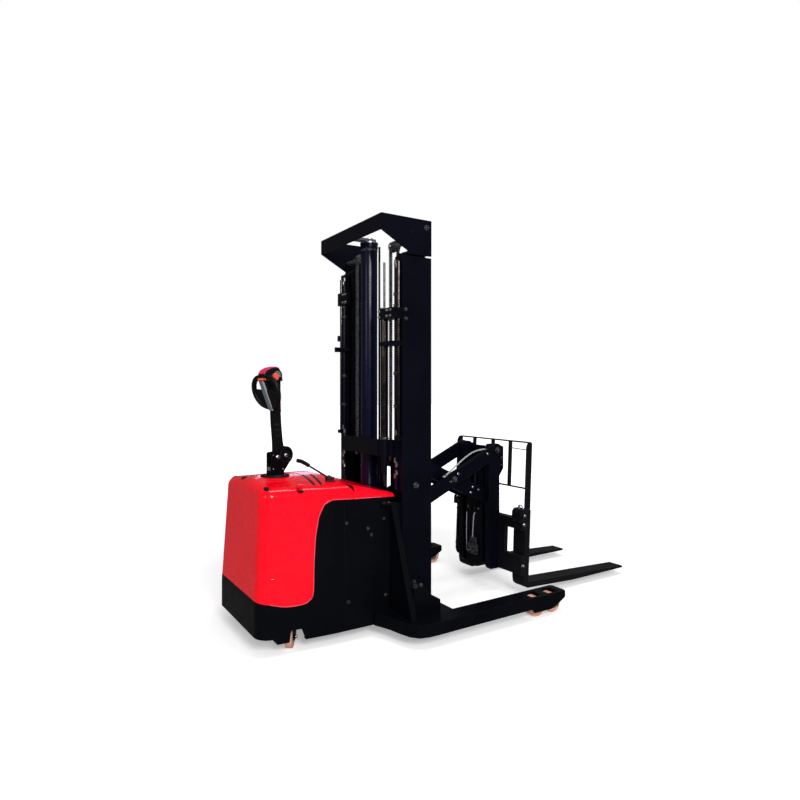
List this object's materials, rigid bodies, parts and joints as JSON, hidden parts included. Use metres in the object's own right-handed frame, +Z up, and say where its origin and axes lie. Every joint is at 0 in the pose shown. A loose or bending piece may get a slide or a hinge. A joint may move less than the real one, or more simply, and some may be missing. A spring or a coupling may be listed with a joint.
{
  "type": "pedestrian reach truck",
  "caption": "Walk-behind electric reach truck: straddle legs, two-stage mast, pantograph reach, tilting forks with load backrest, tiller-steered drive wheel and casters.",
  "frame": {"origin": "middle of the length on the floor, on the centre plane, forks lowered and reached out", "axes": "+X forward along the forks, +Y left, +Z up"},
  "size_m": [2.4634, 1.244, 2.096],
  "materials": {
    "body_black": "satin",
    "hood_red": "gloss",
    "mast_black": "satin",
    "fork_black": "satin",
    "cylinder_black": "gloss",
    "rod_chrome": "polished",
    "tube_steel": "polished, dark",
    "chain_steel": "oiled",
    "battery_case": "satin",
    "wheel_tan": "polyurethane, satin",
    "tiller_black": "matt"
  },
  "bodies": {
    "truck": {"chassis": "body_black", "straddle_base": "body_black", "leg_left": "body_black", "leg_right": "body_black", "leg_sleeves": "body_black", "gussets": "body_black", "hood": "hood_red", "battery_cover": "hood_red", "battery": "battery_case", "outer_rail_left": "mast_black", "outer_rail_right": "mast_black", "mast_seat": "mast_black", "mast_waist": "mast_black", "side_tubes": "tube_steel", "tube_brackets": "mast_black", "mast_pipes": "cylinder_black", "lift_barrel": "cylinder_black", "chains_rear": "chain_steel"},
    "inner_mast": {"inner_rail_left": "mast_black", "inner_rail_right": "mast_black", "inner_tie": "mast_black", "top_hat": "mast_black", "lift_rod": "rod_chrome", "chain_sheaves": "chain_steel"},
    "lift_carriage": {"lift_carriage": "mast_black", "chains_front": "chain_steel"},
    "rear_arms": {"rear_arms": "mast_black"},
    "centre_arms": {"centre_arm_left": "mast_black", "centre_arm_right": "mast_black"},
    "reach_frame": {"reach_frame": "mast_black"},
    "reach_barrels": {"reach_barrels": "cylinder_black"},
    "reach_rods": {"reach_rods": "rod_chrome"},
    "fork_carriage": {"fork_carriage": "fork_black", "backrest": "fork_black", "fork_left": "fork_black", "fork_right": "fork_black"},
    "turret": {"turret": "body_black"},
    "drive_wheel": {"drive_wheel": "wheel_tan"},
    "tiller": {"tiller_arm": "tiller_black", "tiller_head": "tiller_black"},
    "caster_fork_left": {"caster_fork_left": "body_black"},
    "caster_wheel_left": {"caster_wheel_left": "wheel_tan"},
    "load_wheel_left_1": {"load_wheel_left_1": "wheel_tan"},
    "load_wheel_left_2": {"load_wheel_left_2": "wheel_tan"},
    "caster_fork_right": {"caster_fork_right": "body_black"},
    "caster_wheel_right": {"caster_wheel_right": "wheel_tan"},
    "load_wheel_right_1": {"load_wheel_right_1": "wheel_tan"},
    "load_wheel_right_2": {"load_wheel_right_2": "wheel_tan"}
  },
  "joints": [
    {"name": "mast_lift", "type": "slide", "parent": "truck", "child": "inner_mast", "axis": [0, 0, 1], "range_m": [0, 1.4], "deforming": ["chains_rear"]},
    {"name": "carriage_lift", "type": "slide", "parent": "inner_mast", "child": "lift_carriage", "axis": [0, 0, 1], "range_m": [0, 1.4], "deforming": ["chains_front"]},
    {"name": "reach", "type": "hinge", "parent": "lift_carriage", "child": "rear_arms", "pos_m": [-0.34473, 0, 0.85], "axis": [0, 1, 0], "range_deg": [0, 49.5]},
    {"name": "arm_cross", "type": "hinge", "parent": "rear_arms", "child": "centre_arms", "pos_m": [-0.02073, 0, 0.70009], "axis": [0, -1, 0], "range_deg": [0, 99]},
    {"name": "reach_level", "type": "hinge", "parent": "centre_arms", "child": "reach_frame", "pos_m": [0.30327, 0, 0.85], "axis": [0, 1, 0], "range_deg": [0, 49.5]},
    {"name": "fork_tilt", "type": "hinge", "parent": "reach_frame", "child": "fork_carriage", "pos_m": [0.36927, 0, 0.43], "axis": [0, 1, 0], "range_deg": [-5.5, 0.5]},
    {"name": "reach_barrel_pin", "type": "hinge", "parent": "lift_carriage", "child": "reach_barrels", "pos_m": [-0.33673, 0, 0.4], "axis": [0, -1, 0], "range_deg": [0, 6.73]},
    {"name": "reach_ram", "type": "slide", "parent": "reach_barrels", "child": "reach_rods", "axis": [-0.1533, 0, -0.9882], "range_m": [0, 0.0482]},
    {"name": "steer", "type": "hinge", "parent": "truck", "child": "turret", "pos_m": [-1.03573, 0, 0.26], "axis": [0, 0, 1], "range_deg": [-106, 74]},
    {"name": "drive_wheel", "type": "hinge", "parent": "turret", "child": "drive_wheel", "pos_m": [-1.03573, 0, 0.115], "axis": [-0.2756, 0.9613, 0], "continuous": true},
    {"name": "tiller", "type": "hinge", "parent": "turret", "child": "tiller", "pos_m": [-1.03285, 0.00083, 0.874], "axis": [0.2756, -0.9613, 0], "range_deg": [0, 80]},
    {"name": "caster_swivel_left", "type": "hinge", "parent": "truck", "child": "caster_fork_left", "pos_m": [-1.03573, 0.215, 0.14], "axis": [0, 0, 1], "continuous": true},
    {"name": "caster_roll_left", "type": "hinge", "parent": "caster_fork_left", "child": "caster_wheel_left", "pos_m": [-1.05425, 0.18649, 0.05], "axis": [-0.8387, 0.5446, 0], "continuous": true},
    {"name": "load_wheel_left_1", "type": "hinge", "parent": "truck", "child": "load_wheel_left_1", "pos_m": [0.21327, 0.562, 0.05], "axis": [0, 1, 0], "continuous": true},
    {"name": "load_wheel_left_2", "type": "hinge", "parent": "truck", "child": "load_wheel_left_2", "pos_m": [0.33327, 0.562, 0.05], "axis": [0, 1, 0], "continuous": true},
    {"name": "caster_swivel_right", "type": "hinge", "parent": "truck", "child": "caster_fork_right", "pos_m": [-1.03573, -0.215, 0.14], "axis": [0, 0, 1], "continuous": true},
    {"name": "caster_roll_right", "type": "hinge", "parent": "caster_fork_right", "child": "caster_wheel_right", "pos_m": [-1.05425, -0.24352, 0.05], "axis": [-0.8387, 0.5446, 0], "continuous": true},
    {"name": "load_wheel_right_1", "type": "hinge", "parent": "truck", "child": "load_wheel_right_1", "pos_m": [0.21327, -0.562, 0.05], "axis": [0, 1, 0], "continuous": true},
    {"name": "load_wheel_right_2", "type": "hinge", "parent": "truck", "child": "load_wheel_right_2", "pos_m": [0.33327, -0.562, 0.05], "axis": [0, 1, 0], "continuous": true}
  ],
  "couplings": [
    {"joint": "carriage_lift", "follows": "mast_lift", "ratio": 1},
    {"joint": "arm_cross", "follows": "reach", "ratio": 2},
    {"joint": "reach_level", "follows": "reach", "ratio": 1},
    {"joint": "reach_barrel_pin", "follows": "reach", "ratio": 0.13595},
    {"joint": "reach_ram", "follows": "reach", "m_per_rad": 0.055753}
  ]
}
